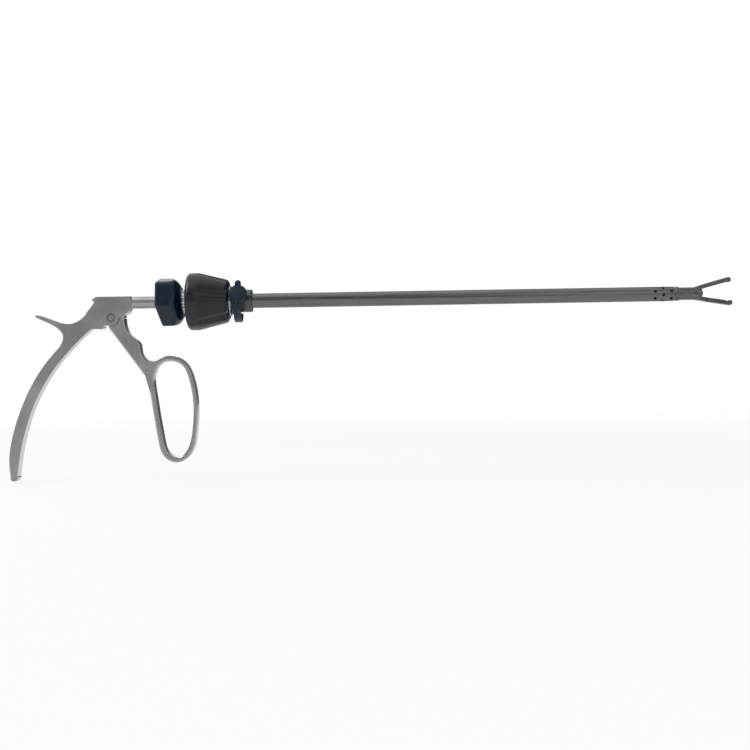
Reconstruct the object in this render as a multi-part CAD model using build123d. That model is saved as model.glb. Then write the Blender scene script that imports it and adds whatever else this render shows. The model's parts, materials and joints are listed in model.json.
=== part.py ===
from build123d import *
import os
from math import cos, radians, sin

# A reusable clip applier for keyhole surgery. Sizes are in millimetres.
# The origin is on the shaft axis at the front face of the tube hub, +X runs to the jaws,
# +Z is up and the handles hang below in the XZ plane. The camera side is -Y.

# Overall sizes
working_length = 330.0
tube_radius = 5.0
plate_thickness = 9.0

# Clearances
running_gap = 0.08
seat_gap = 0.02
side_gap = 0.15
flush_gap = 0.05

# Shaft tube
tube_wall = 0.7
tube_seat_radius = 4.75
sleeve_length = 18.0
sleeve_hole_radius = 1.1
sleeve_hole_count = 6
sleeve_hole_rows = (5.0, 10.5, 16.0)
guide_length = 12.0
guide_lap = 2.5
guide_groove_radius = 0.8
guide_groove_count = 4

# Drive rod
rod_radius = 1.6
spool_radius = 2.7
spool_waist_radius = 1.3
spool_flange = 1.4
blade_thickness = 1.2
blade_height = 2.7
blade_root = 7.0
blade_collar = 5.0
drive_pin_radius = 0.8

# Jaws
jaw_reach = 26.3
jaw_width = 4.7
jaw_root_thickness = 1.6
jaw_disc_radius = 3.9
jaw_pin_radius = 1.0
upper_jaw_opening = 16.5
lower_jaw_opening = 10.5
closed_pin_distance = 5.0
tail_wall = 0.75
channel_width = 2.6
channel_depth = 0.8

# Jaw housing
housing_length = 14.7
housing_radius = 4.8
housing_neck_radius = 4.6
housing_neck_length = 1.3
spigot_length = 5.0
housing_slot_depth = 11.1

# Pivot of the front handle
pivot_x = -96.5
pivot_z = -10.4
trigger_travel = 20.0
ear_radius = 5.5
joint_gap = 0.45
tang_thickness = 5.0
boss_radius = 5.0
screw_radius = 1.75
screw_thread_radius = 1.5
screw_head_radius = 2.2
screw_head_height = 1.0
screw_slot_width = 0.6
screw_slot_depth = 0.5
screw_slot_turn = 35.0
screw_rim = 0.25
seat_ring_radius = 2.9
bush_radius = 2.5
fork_lobe_radius = 1.5
fork_stem_width = 1.6
body_wall_angle = -128.0
trigger_corner_angle = -106.0

# Rear handle
shank_radius = 4.15
shank_end = -60.2
body_front = -87.0
body_top = 4.15
grip_inner_rounding = 2.4
grip_outer_rounding = 1.2
flare_start = -82.6
flare_end = -80.0
notch_radius = 0.8
spur_tip_thickness = 3.6

# Front handle
lever_thickness = 8.8
lever_rounding = 1.35

# Coupling between handle and shaft unit
sleeve_left = -64.4
coupling_radius = 6.9
spigot_radius = 5.3
coupling_right = -41.6
lock_ball_radius = 1.25
lock_ball_x = -54.0
lock_ball_count = 3
circlip_thickness = 1.0
circlip_radius = 7.9
circlip_groove_depth = 0.6
circlip_gap_width = 4.0

# Lock nut
nut_left = -65.4
nut_length = 17.9
nut_corner_radius = 17.8
nut_corner_rounding = 2.6
nut_end_radius = 9.4
nut_turn = 12.2
nut_form_lean = -4.2
nut_face_x = -64.5
nut_face_z = -2.5
nut_face_leans = (1.7, 13.2)

# Click ring and balls
click_ring_radius = 8.3
click_tooth_depth = 0.7
click_teeth = 24
click_ring_length = 7.7
click_ball_radius = 0.9
click_ball_count = 3
click_spring_thickness = 0.4

# Rotation knob
knob_gap = 3.3
knob_length = 28.7
knob_rear_radius = 19.6
knob_land = 8.0
knob_front_radius = 14.4
knob_flutes = 6
flute_radius = 7.0
flute_rear_depth = 0.35
flute_front_depth = 1.5
cage_wall = 1.2
core_radius = 8.0
retainer_radius = 10.4
retainer_thickness = 1.1

# Hub, flush port and cap
hub_radius = 7.75
hub_length = 14.2
port_x = -8.8
port_angle = 20.0
port_radius = 2.9
port_bore_radius = 2.0
port_reach = 11.4
cap_radius = 6.4
cap_thickness = 1.7
cap_plug_length = 4.0
cap_skirt_wall = 0.9
cap_skirt_length = 2.6
tab_width = 4.2
tab_length = 3.6
strap_width = 5.2
strap_top_width = 7.2
strap_thickness = 1.3
strap_rib_height = 0.35
strap_rib_width = 0.9
strap_rib_offset = 1.35
strap_ring_width = 3.0
strap_ring_wall = 1.4

# Derived places along the shaft
jaw_x = working_length - jaw_reach
sleeve_end = jaw_x - housing_length
sleeve_start = sleeve_end - sleeve_length
tube_bore_radius = tube_radius - tube_wall
inner_fit_radius = tube_bore_radius - seat_gap
knob_front = -hub_length - retainer_thickness - 0.2
knob_rear = knob_front - knob_length
nut_right = knob_rear - knob_gap
ring_left = nut_right - 1.8
ring_right = ring_left + click_ring_length
core_flange_left = coupling_right + 0.3
core_flange_right = core_flange_left + 2.4
cage_inner_radius = click_ring_radius + 0.3
cage_outer_radius = cage_inner_radius + cage_wall
tube_seat_left = -34.0
circlip_left = sleeve_left + 0.22

# Derived sizes of the drive
half_travel = trigger_travel / 2
fork_arm = -pivot_z / cos(radians(half_travel))
rod_travel = 2 * fork_arm * sin(radians(half_travel))
rod_bore_radius = spool_radius + 0.1
spool_x = pivot_x - rod_travel / 2
spool_gap = 2 * (fork_lobe_radius + 0.1)
open_pin_distance = closed_pin_distance + rod_travel
drive_pin_x = jaw_x - open_pin_distance
half_plate = plate_thickness / 2
root_inner = jaw_width / 2 - jaw_root_thickness


def turned(*corners):
    """Solid turned about the shaft axis from its (x, radius) corners."""
    return revolve(Plane.XZ * make_face(Polyline(*corners, close=True)), Axis.X)


def sleeve(left, right, outer, inner):
    """Plain sleeve about the shaft axis."""
    return turned((left, inner), (right, inner), (right, outer), (left, outer))


def rod_along_x(left, right, radius):
    """Plain round bar about the shaft axis."""
    return turned((left, 0), (right, 0), (right, radius), (left, radius))


def pin_along_y(x, z, radius, low, high):
    """Round pin along Y at (x, z), from y = low to y = high."""
    start = Plane((x, low, z), x_dir=(1, 0, 0), z_dir=(0, 1, 0))
    return extrude(start * Circle(radius), high - low)


def plate_xz(face, low, high):
    """Plate with its outline in the XZ plane, from y = low to y = high."""
    return extrude(Plane.XZ.offset(-low) * face, -(high - low))


def around_shaft(count, first_angle=0):
    """Turns about the shaft axis that share a full circle equally."""
    return [Rot(first_angle + 360 * i / count, 0, 0) for i in range(count)]


def ball_at(x, radial, radius):
    """Ball above the shaft axis."""
    return Pos(x, 0, radial) * Sphere(radius)


def radial_hole(x, radius, inner, outer):
    """Round hole that points away from the shaft axis along +Z."""
    return extrude(Plane((x, 0, inner)) * Circle(radius), outer - inner)


def pivot_point(angle, distance):
    """Point in the XZ plane at an angle and distance from the pivot of the front handle."""
    return (
        pivot_x + distance * cos(radians(angle)),
        pivot_z + distance * sin(radians(angle)),
    )


def rear_handle_outline():
    """Side outline of body plate, spur and grip, with the ear that covers the pivot."""
    joint_z = pivot_z
    wall_foot = pivot_point(body_wall_angle, 9.6)
    with BuildSketch(Plane.XY) as side:
        with BuildLine():
            Polyline((-112.6, -5.9), (-107.7, 0.2), (-109.5, 2.3), (-106.4, body_top), (flare_end, body_top))
            Polyline((flare_end, body_top), (flare_end, -body_top), (flare_start, -body_top))
            RadiusArc((flare_start, -body_top), (body_front, -8.6), 4.7)
            Line((body_front, -8.6), (body_front, joint_z))
            Line((body_front, joint_z), (pivot_x + ear_radius, joint_z))
            ThreePointArc(
                (pivot_x + ear_radius, joint_z),
                pivot_point(body_wall_angle / 2, ear_radius),
                pivot_point(body_wall_angle, ear_radius),
            )
            Line(pivot_point(body_wall_angle, ear_radius), wall_foot)
            Line(wall_foot, (-110.0, -17.6))
            Spline(
                (-110.0, -17.6), (-125.0, -31.8), (-141.9, -53.6),
                (-153.3, -77.4), (-159.1, -98.0), (-162.2, -117.9),
            )
            ThreePointArc((-162.2, -117.9), (-164.5, -121.2), (-166.9, -118.6))
            Spline(
                (-166.9, -118.6), (-168.0, -110.0), (-166.2, -94.0), (-157.6, -67.7),
                (-146.3, -46.6), (-134.9, -32.3), (-131.0, -27.4), (-129.9, -22.4),
                (-132.3, -18.2), (-139.2, -13.4), (-148.0, -9.3),
            )
            ThreePointArc((-148.0, -9.3), (-148.9, -8.4), (-148.2, -7.7))
            Spline((-148.2, -7.7), (-137.6, -10.8), (-124.0, -14.0), (-117.2, -11.2), (-112.6, -5.9))
        make_face()
    return side.sketch


def rear_handle():
    """Forged rear handle, bored for the rod and slotted for the tang of the front handle."""
    plate = plate_xz(rear_handle_outline(), -half_plate, half_plate)
    rims = plate.edges().filter_by(lambda e: abs(abs(e.center().Y) - half_plate) < 0.01)
    long_rims = rims.filter_by(lambda e: e.length > 100)
    inner_rims = long_rims.filter_by(lambda e: e.center().X > -150)
    outer_rims = long_rims.filter_by(lambda e: e.center().X < -150)
    plate = fillet(inner_rims, grip_inner_rounding)
    plate = fillet(outer_rims, grip_outer_rounding)
    plate = plate - spur_taper() - shank_flare()
    shank = rod_along_x(-100, shank_end, shank_radius)
    tang_room = pin_along_y(pivot_x, pivot_z, ear_radius + joint_gap, -slot_half(), slot_half())
    with BuildSketch(Plane.XY) as stem_room:
        with BuildLine():
            Polyline(
                (pivot_x - 4.6, pivot_z), (pivot_x - 4.6, -1.0), (pivot_x - 3.6, 2.0),
                (pivot_x + 3.6, 2.0), (pivot_x + 4.6, -1.0), (pivot_x + 4.6, pivot_z), close=True,
            )
        make_face()
    tang_room = tang_room + plate_xz(stem_room.sketch, -slot_half(), slot_half())
    rod_room = rod_along_x(spool_x - spool_gap / 2 - spool_flange - 0.8, shank_end, rod_bore_radius)
    handle = plate + shank - tang_room - rod_room
    notch = pivot_point(body_wall_angle, 7.5)
    handle = handle - pin_along_y(*notch, notch_radius, -half_plate, half_plate)
    near = -half_plate
    handle = handle - pin_along_y(pivot_x, pivot_z, seat_ring_radius, near, -slot_half())
    return handle - pin_along_y(pivot_x, pivot_z, screw_thread_radius + seat_gap, 0, half_plate)


def shank_flare():
    """Ring-shaped cut that rounds the front of the body plate down to the shank."""
    with BuildSketch(Plane.XZ) as form:
        with BuildLine():
            Polyline(
                (flare_start, body_top), (flare_end + 1, body_top), (flare_end + 1, 13),
                (body_front - 0.6, 13), (body_front - 0.6, 9.2),
            )
            RadiusArc((body_front - 0.6, 9.2), (flare_start, body_top), 5.6)
        make_face()
    return revolve(form.sketch, Axis.X)


def slot_half():
    """Half the width of the slot that the tang moves in."""
    return tang_thickness / 2 + side_gap


def spur_taper():
    """Two wedges that thin the spur towards its tip."""
    wedges = []
    for side in (-1, 1):
        with BuildSketch(Plane.XY.offset(-19)) as wedge:
            with BuildLine():
                Polyline(
                    (-130.5, side * half_plate), (-150.5, side * spur_tip_thickness / 2),
                    (-150.5, side * (half_plate + 1)), (-130.5, side * (half_plate + 1)), close=True,
                )
            make_face()
        wedges.append(extrude(wedge.sketch, 14))
    return wedges[0] + wedges[1]


def pivot_screw():
    """Slotted shoulder screw: head in the near cheek, thread in the far cheek."""
    head_low = -half_plate + flush_gap
    neck = -half_plate + screw_head_height
    shoulder_end = slot_half()
    head = pin_along_y(pivot_x, pivot_z, screw_head_radius, head_low, neck)
    head = chamfer(head.edges().filter_by(lambda e: e.center().Y < head_low + 0.01), screw_rim)
    screw = head + pin_along_y(pivot_x, pivot_z, screw_radius, neck, shoulder_end - flush_gap)
    screw = screw + pin_along_y(pivot_x, pivot_z, screw_thread_radius, 0, half_plate - flush_gap)
    slot = Rot(0, screw_slot_turn, 0) * Box(3 * screw_head_radius, 2 * screw_slot_depth, screw_slot_width)
    return screw - Pos(pivot_x, head_low, pivot_z) * slot


def screw_seat():
    """Ring pressed in the near cheek, with the seat of the screw head."""
    outer = seat_ring_radius - seat_gap
    ring = pin_along_y(pivot_x, pivot_z, outer, -half_plate, -slot_half())
    ring = chamfer(ring.edges().filter_by(lambda e: e.center().Y < -half_plate + 0.01), screw_rim / 2)
    ring = ring - pin_along_y(
        pivot_x, pivot_z, screw_head_radius + seat_gap, -half_plate, -half_plate + screw_head_height
    )
    return ring - pin_along_y(pivot_x, pivot_z, screw_radius + seat_gap, -half_plate, 0)


def coupling_sleeve():
    """Sleeve on the end of the shank that takes the spigot of the shaft unit."""
    body = turned(
        (sleeve_left, shank_radius + seat_gap), (shank_end, shank_radius + seat_gap),
        (shank_end, spigot_radius + running_gap), (coupling_right, spigot_radius + running_gap),
        (coupling_right, coupling_radius), (sleeve_left, coupling_radius),
    )
    groove_root = coupling_radius - circlip_groove_depth
    body = body - sleeve(
        circlip_left - seat_gap, circlip_left + circlip_thickness + seat_gap, circlip_radius, groove_root
    )
    for turn in around_shaft(lock_ball_count):
        hole = radial_hole(lock_ball_x, lock_ball_radius + 0.03, spigot_radius - 1, coupling_radius + 1)
        body = body - turn * hole
    return body


def nut_circlip():
    """Open ring in the groove of the coupling sleeve, in front of the lock nut's rear face."""
    groove_root = coupling_radius - circlip_groove_depth
    ring = sleeve(circlip_left, circlip_left + circlip_thickness, circlip_radius, groove_root + seat_gap)
    return ring - Pos(circlip_left, 0, circlip_radius) * Box(4, circlip_gap_width, 6)


def lock_balls():
    """Balls in the coupling sleeve, held in the groove of the spigot."""
    ball = ball_at(lock_ball_x, coupling_radius - lock_ball_radius - 0.02, lock_ball_radius)
    return [turn * ball for turn in around_shaft(lock_ball_count)]


def click_ring():
    """Toothed ring on the coupling sleeve, seen between lock nut and knob."""
    pitch = 360 / click_teeth
    root = click_ring_radius - click_tooth_depth
    corners = []
    for i in range(click_teeth):
        for share, radius in ((0.0, root), (0.38, click_ring_radius), (0.62, click_ring_radius)):
            angle = radians(pitch * (i + share))
            corners.append((-radius * sin(angle), radius * cos(angle)))
    rim = extrude(Plane.YZ.offset(ring_left) * make_face(Polyline(*corners, close=True)), click_ring_length)
    return rim - rod_along_x(ring_left, ring_right, coupling_radius + seat_gap)


def lock_nut():
    """Six-sided nut with rounded corners, a bent rear face and a long rounded shoulder."""
    hexagon = RegularPolygon(nut_corner_radius, 6, rotation=nut_turn)
    hexagon = fillet(hexagon.vertices(), nut_corner_rounding)
    prism = extrude(Plane.YZ.offset(nut_left) * hexagon, nut_length + 1)
    with BuildSketch(Plane.XZ) as form:
        with BuildLine():
            Polyline(
                (nut_right, nut_end_radius), (nut_right, 0), (nut_left - 3, 0),
                (nut_left - 3, nut_corner_radius), (nut_left + 9.0, nut_corner_radius),
            )
            ThreePointArc(
                (nut_left + 9.0, nut_corner_radius), (nut_left + 14.6, 14.6), (nut_right, nut_end_radius),
            )
        make_face()
    middle = (nut_left + nut_right) / 2
    shoulder = Pos(middle, 0, 0) * Rot(0, nut_form_lean, 0) * Pos(-middle, 0, 0) * revolve(form.sketch, Axis.X)
    rear = turned(
        (nut_left, 0), (nut_left, 14.2), (nut_left + 2.2, nut_corner_radius),
        (nut_right + 1, nut_corner_radius), (nut_right + 1, 0),
    )
    body = prism & shoulder & rear
    for lean in nut_face_leans:
        face = Pos(nut_face_x, 0, nut_face_z) * Rot(0, -lean, 0)
        body = body - face * Pos(-20, 0, 0) * Box(40, 90, 90)
    body = body - rod_along_x(nut_left, nut_right + 1, coupling_radius + running_gap)
    clip_room = circlip_left + circlip_thickness + side_gap
    body = body - rod_along_x(nut_left, clip_room, circlip_radius + 0.3)
    body = body - rod_along_x(ring_left - side_gap, nut_right + 1, click_ring_radius + 0.2)
    for turn in around_shaft(lock_ball_count, -90):
        body = body - turn * ball_at(lock_ball_x, coupling_radius + 0.3, lock_ball_radius + 0.2)
    return body


def lever_outline():
    """Side outline of the lever with its two finger scallops, down to the finger loop."""
    shoulder = ear_radius + joint_gap
    corner = pivot_point(trigger_corner_angle, 7.0)
    top_z = pivot_z - joint_gap
    with BuildSketch(Plane.XY) as side:
        with BuildLine():
            Line((pivot_x + shoulder, top_z), (body_front, top_z))
            Spline(
                (body_front, top_z), (-86.3, -16.6), (-83.6, -22.0), (-79.8, -25.0), (-77.2, -27.8),
                (-76.4, -32.6), (-74.6, -37.2), (-70.2, -40.0), (-65.0, -38.9), (-60.5, -37.6),
            )
            Polyline((-60.5, -37.6), (-66.0, -43.5), (-69.2, -52.0), (-70.6, -62.0), (-73.4, -51.4), corner)
            Line(corner, pivot_point(trigger_corner_angle, shoulder))
            ThreePointArc(
                pivot_point(trigger_corner_angle, shoulder),
                pivot_point(trigger_corner_angle / 2, shoulder),
                (pivot_x + shoulder, top_z),
            )
        make_face()
    return side.sketch


def loop_outline():
    """Side outline of the finger loop: an egg-shaped band."""
    with BuildSketch(Plane.XY) as side:
        with BuildLine():
            Spline(
                (-56.0, -36.9), (-66.6, -40.2), (-71.4, -49.0), (-71.0, -60.0), (-68.6, -77.0),
                (-65.8, -94.5), (-61.4, -106.4), (-52.6, -110.1), (-43.2, -104.0), (-39.0, -89.0),
                (-38.1, -71.0), (-40.6, -53.0), (-46.8, -40.6), periodic=True,
            )
        make_face()
        with BuildLine():
            Spline(
                (-56.0, -40.6), (-63.8, -43.2), (-67.4, -50.6), (-66.8, -62.0), (-64.5, -78.0),
                (-61.8, -94.0), (-57.8, -104.2), (-51.6, -106.4), (-46.2, -101.8), (-42.3, -89.0),
                (-41.3, -71.0), (-43.8, -54.0), (-48.6, -43.6), periodic=True,
            )
        make_face(mode=Mode.SUBTRACT)
    return side.sketch


def front_handle():
    """Lever with finger loop, and the forked tang that drives the rod."""
    side_y = lever_thickness / 2
    lever = plate_xz(lever_outline(), -side_y, side_y)
    rims = lever.edges().filter_by(lambda e: abs(abs(e.center().Y) - side_y) < 0.01)
    lever = fillet(rims.filter_by(lambda e: e.length > 32), lever_rounding)
    loop = plate_xz(loop_outline(), -side_y, side_y)
    rims = loop.edges().filter_by(lambda e: abs(abs(e.center().Y) - side_y) < 0.01)
    loop = fillet(rims.filter_by(lambda e: e.length > 100), lever_rounding)
    lever = lever + loop
    half = tang_thickness / 2
    tang = pin_along_y(pivot_x, pivot_z, boss_radius, -half, half) + tang_root(half)
    lobe_z = pivot_z + fork_arm
    with BuildSketch(Plane.XY) as stem:
        with BuildLine():
            Polyline(
                (pivot_x - 3.6, pivot_z + 2.0), (pivot_x - fork_stem_width / 2, lobe_z - 3.4),
                (pivot_x - fork_stem_width / 2, lobe_z), (pivot_x + fork_stem_width / 2, lobe_z),
                (pivot_x + fork_stem_width / 2, lobe_z - 3.4), (pivot_x + 3.6, pivot_z + 2.0), close=True,
            )
        make_face()
    fork = plate_xz(stem.sketch, -half, half)
    fork = fork + pin_along_y(pivot_x, lobe_z, fork_lobe_radius, -half, half)
    waist_room = spool_waist_radius + side_gap
    fork = fork - Pos(pivot_x, 0, lobe_z + 1) * Box(8, 2 * waist_room, 2 * (waist_room + 1.4))
    lean = Pos(pivot_x, 0, pivot_z) * Rot(0, -half_travel, 0) * Pos(-pivot_x, 0, -pivot_z)
    tang = tang + lean * fork
    tang = tang - pin_along_y(pivot_x, pivot_z, bush_radius, -half, half)
    return lever + tang


def tang_root(half):
    """Web that joins the boss of the tang to the thick part of the lever."""
    with BuildSketch(Plane.XY) as web:
        with BuildLine():
            Polyline(
                pivot_point(0, 4.0), pivot_point(-2, 7.0), pivot_point(-40, 9.0),
                pivot_point(-80, 9.0), pivot_point(trigger_corner_angle, 6.6),
                pivot_point(trigger_corner_angle, 4.0), close=True,
            )
        make_face()
    return plate_xz(web.sketch, -half, half)


def trigger_bush():
    """Bush of the front handle, turning on the pivot screw."""
    half = tang_thickness / 2
    bush = pin_along_y(pivot_x, pivot_z, bush_radius - seat_gap, -half, half)
    return bush - pin_along_y(pivot_x, pivot_z, screw_radius + running_gap, -half, half)


def rod_left():
    """Rear end of the drive rod, screwed into the spool."""
    return spool_x + spool_gap / 2 + 0.6


def drive_rod():
    """Round rod from the spool to the drive blade."""
    return rod_along_x(rod_left(), blade_left(), rod_radius)


def blade_left():
    """Rear end of the drive blade's root."""
    return drive_pin_x - blade_root - blade_collar


def rod_spool():
    """Turned spool that the fork of the front handle straddles."""
    half_gap = spool_gap / 2
    far = half_gap + spool_flange
    corners = [
        (-far, 0), (half_gap, 0), (half_gap, spool_waist_radius), (-half_gap, spool_waist_radius),
        (-half_gap, spool_radius), (-far + 0.4, spool_radius), (-far, spool_radius - 0.4),
    ]
    rear = turned(*[(spool_x + x, r) for x, r in corners])
    front = rod_along_x(spool_x + half_gap, spool_x + far, spool_radius)
    neck = rod_along_x(spool_x + far, spool_x + far + 3, 2.3)
    return rear + front + neck - rod_along_x(rod_left(), spool_x + far + 3, rod_radius + seat_gap)


def drive_blade():
    """Flat end of the rod between the jaw tails, bored for the drive pin."""
    left = blade_left()
    root = rod_along_x(left, left + blade_collar, rod_radius)
    tip = drive_pin_x + blade_height / 2
    flat = Pos((left + drive_pin_x) / 2, 0, 0) * Box(drive_pin_x - left, blade_thickness, blade_height)
    nose = pin_along_y(drive_pin_x, 0, tip - drive_pin_x, -blade_thickness / 2, blade_thickness / 2)
    eye = pin_along_y(drive_pin_x, 0, drive_pin_radius + seat_gap, -blade_thickness, blade_thickness)
    return root + flat + nose - eye


def drive_pin():
    """Cross pin of the drive blade, running in the cam slots of both jaws."""
    reach = jaw_width / 2
    return pin_along_y(drive_pin_x, 0, drive_pin_radius, -reach, reach)


def knob_core():
    """Steel heart of the knob: spigot, ball cage, knob seat and tube seat."""
    spigot_left = shank_end + 0.3
    thread_left = -hub_length
    core = turned(
        (spigot_left, 0), (thread_left, 0), (thread_left, core_radius - 0.8), (knob_front, core_radius - 0.8),
        (knob_front, core_radius), (core_flange_right, core_radius), (core_flange_right, cage_outer_radius),
        (core_flange_left, cage_outer_radius), (core_flange_left, spigot_radius),
        (spigot_left + 0.6, spigot_radius), (spigot_left, spigot_radius - 0.6),
    )
    core = core + sleeve(knob_rear + 0.3, core_flange_left, cage_outer_radius, cage_inner_radius)
    core = core - rod_along_x(spigot_left, thread_left, rod_radius + 0.4)
    core = core - rod_along_x(tube_seat_left, thread_left, tube_seat_radius + seat_gap)
    core = core - sleeve(seal_left(), tube_seat_left, seal_outer(), 0.5)
    groove = Torus(coupling_radius - lock_ball_radius - 0.02, lock_ball_radius + 0.06)
    core = core - Pos(lock_ball_x, 0, 0) * Rot(0, 90, 0) * groove
    for turn in around_shaft(click_ball_count):
        core = core - turn * radial_hole(
            click_ball_x(), click_ball_radius + 0.03, cage_inner_radius - 0.5, cage_outer_radius + 0.5
        )
    return core


def click_ball_x():
    """Place of the click balls along the shaft."""
    return (knob_rear + 0.3 + core_flange_left) / 2


def click_ball_centre():
    """Distance from the shaft axis of a click ball's centre while it rides on a tooth."""
    return click_ring_radius + click_ball_radius + 0.06


def click_balls():
    """Balls of the knob, riding on teeth of the click ring."""
    ball = ball_at(click_ball_x(), click_ball_centre(), click_ball_radius)
    return [turn * ball for turn in around_shaft(click_ball_count)]


def click_spring():
    """Split spring band round the ball cage."""
    inner = click_ball_centre() + click_ball_radius + seat_gap
    band = sleeve(click_ball_x() - 0.9, click_ball_x() + 0.9, inner + click_spring_thickness, inner)
    return band - Rot(60, 0, 0) * Pos(click_ball_x(), 0, inner) * Box(4, 2.4, 3)


def seal_left():
    """Rear end of the groove of the rod seals."""
    return tube_seat_left - 3.2


def seal_outer():
    """Outer radius of the groove of the rod seals."""
    return rod_radius + running_gap + 1.35


def rod_seals():
    """Two seal rings round the rod, behind the flush port."""
    minor = 0.62
    major = rod_radius + running_gap + minor
    rings = []
    for share in (0.27, 0.73):
        x = seal_left() + 3.2 * share
        rings.append(Pos(x, 0, 0) * Rot(0, 90, 0) * Torus(major, minor))
    return rings


def rotation_knob():
    """Tapered grip with lengthwise flutes that deepen towards its front."""
    knob = turned(
        (knob_rear, 0), (knob_front, 0), (knob_front, knob_front_radius),
        (knob_rear + knob_land, knob_rear_radius), (knob_rear, knob_rear_radius),
    )
    for place, rounding in ((knob_rear + knob_land, 9.0), (knob_rear, 3.0), (knob_front, 2.6)):
        rim = knob.edges().filter_by(lambda e: e.length > 60 and abs(e.bounding_box().min.X - place) < 0.1)
        knob = fillet(rim, rounding)
    rear_z = knob_rear_radius - flute_rear_depth + flute_radius
    front_z = knob_front_radius - flute_front_depth + flute_radius
    start = Vector(knob_rear + knob_land, 0, rear_z)
    finish = Vector(knob_front, 0, front_z)
    aim = (finish - start).normalized()
    cutter = extrude(Plane(origin=start - aim * 14, z_dir=aim) * Circle(flute_radius), 44)
    for turn in around_shaft(knob_flutes, 90 - 12):
        knob = knob - turn * cutter
    knob = knob - rod_along_x(knob_rear, knob_front, core_radius + seat_gap)
    return knob - rod_along_x(knob_rear, core_flange_right + 0.1, cage_outer_radius + 1.2)


def knob_retainer():
    """Thin polished ring that holds the knob on its core."""
    left = knob_front + 0.1
    ring = sleeve(left, left + retainer_thickness, retainer_radius, core_radius - 0.8 + seat_gap)
    return chamfer(ring.edges().filter_by(lambda e: e.length > 60), 0.25)


def port_frame():
    """Frame of the flush port: its z axis points out of the port."""
    aim = (0, -cos(radians(port_angle)), sin(radians(port_angle)))
    return Plane((port_x, 0, 0), x_dir=(1, 0, 0), z_dir=aim)


def port_post(low, high, radius):
    """Round post on the axis of the flush port."""
    return extrude(port_frame().offset(low) * Circle(radius), high - low)


def tube_hub():
    """Collar at the start of the working length, with the seat of the flush port."""
    hub = sleeve(-hub_length + 0.05, -0.02, hub_radius, tube_seat_radius + seat_gap)
    hub = chamfer(hub.edges().filter_by(lambda e: e.length > 45), 0.4)
    boss = port_post(hub_radius - 2.2, hub_radius + 0.6, port_radius + 0.9)
    return hub + boss - port_post(0, 12, port_radius - 0.6 + seat_gap)


def flush_port():
    """Nozzle in the hub, bored through to the tube."""
    port = port_post(tube_radius + 0.3, hub_radius + 0.6, port_radius - 0.6)
    port = port + port_post(hub_radius + 0.6, port_reach, port_radius)
    port = chamfer(port.edges().sort_by(lambda e: e.center().Y)[:1], 0.3)
    port = port - port_post(hub_radius - 0.6, port_reach + 1, port_bore_radius)
    return port - port_post(0, hub_radius, port_bore_radius - 0.8)


def port_cap():
    """Silicone cap: disc with pull tab, plug and skirt."""
    base = port_reach + 0.15
    disc = port_post(base, base + cap_thickness, cap_radius)
    disc = disc + pull_tab(base)
    top = disc.faces().sort_by(lambda f: f.center().Y)[0]
    disc = fillet(top.outer_wire().edges(), 0.5)
    plug = port_post(base - cap_plug_length + 0.6, base, port_bore_radius - running_gap)
    inner = port_radius + 0.1
    skirt = port_post(base - cap_skirt_length, base, inner + cap_skirt_wall)
    skirt = skirt - port_post(base - cap_skirt_length, base, inner)
    return disc + plug + skirt


def pull_tab(base):
    """Rounded tongue on the upper rim of the cap."""
    reach = cap_radius + tab_length - tab_width / 2
    tongue = Rectangle(tab_width, reach, align=(Align.CENTER, Align.MIN))
    tongue = tongue + Pos(0, reach) * Circle(tab_width / 2)
    return extrude(port_frame().offset(base) * tongue, cap_thickness)


def cap_strap():
    """Silicone strap with two ribs, from below the cap to its ring on the hub."""
    inner = hub_radius + seat_gap
    left = -hub_length + 0.2
    ring = sleeve(left, left + strap_ring_width, inner + strap_ring_wall, inner)
    half = strap_top_width / 2
    ribbon = strap_band(port_x - half, port_x + half, strap_thickness - strap_rib_height)
    for side in (-1, 1):
        middle = port_x + side * strap_rib_offset
        rib = strap_band(middle - strap_rib_width / 2, middle + strap_rib_width / 2, strap_thickness)
        ribbon = ribbon + rib
    ribbon = (ribbon & strap_front()) - rod_along_x(-hub_length, 0, inner)
    return ring + ribbon - port_post(hub_radius - 1.5, port_reach, port_radius + 1.3)


def strap_band(low, high, thickness):
    """Band that hangs in front of the hub and comes back to it below, from x = low to x = high."""
    with BuildSketch(Plane.XY) as band:
        with BuildLine():
            back = FilletPolyline(
                (-13.0, -2.6), (-13.3, -11.9), (-7.9, -14.1), (-2.9, -13.3), (-0.8, -8.6), radius=2.2
            )
            offset(back, thickness, side=Side.RIGHT, closed=True)
        make_face()
    return extrude(Plane.YZ.offset(low) * band.sketch, high - low)


def strap_front():
    """Block with the front outline of the strap, which narrows below the cap."""
    top = strap_top_width / 2
    low = strap_width / 2
    with BuildSketch(Plane.XY) as outline:
        with BuildLine():
            Polyline(
                (port_x - top, -2), (port_x - low, -7.5), (port_x - low, -20),
                (port_x + low, -20), (port_x + low, -7.5), (port_x + top, -2), close=True,
            )
        make_face()
    return plate_xz(outline.sketch, -20, 5)


def outer_tube():
    """Main tube, from its seat in the knob core to the end sleeve."""
    tube = sleeve(0, sleeve_start - 0.02, tube_radius, tube_bore_radius)
    tube = tube + sleeve(tube_seat_left + 0.05, 0, tube_seat_radius, tube_bore_radius)
    return tube - port_post(0, tube_radius + 1, port_bore_radius - 0.8)


def end_sleeve():
    """End of the tube with staggered rings of flushing holes."""
    tube = sleeve(sleeve_start, sleeve_end, tube_radius, tube_bore_radius)
    for row, place in enumerate(sleeve_hole_rows):
        tube = tube - sleeve_holes(sleeve_start + place, row)
    return tube


def sleeve_holes(x, row):
    """One ring of holes, each second ring turned by half a step."""
    step = 360 / sleeve_hole_count
    hole = radial_hole(x, sleeve_hole_radius, 0.5, tube_radius + 1)
    turns = around_shaft(sleeve_hole_count, 10 + row * step / 2)
    return [turn * hole for turn in turns]


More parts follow.
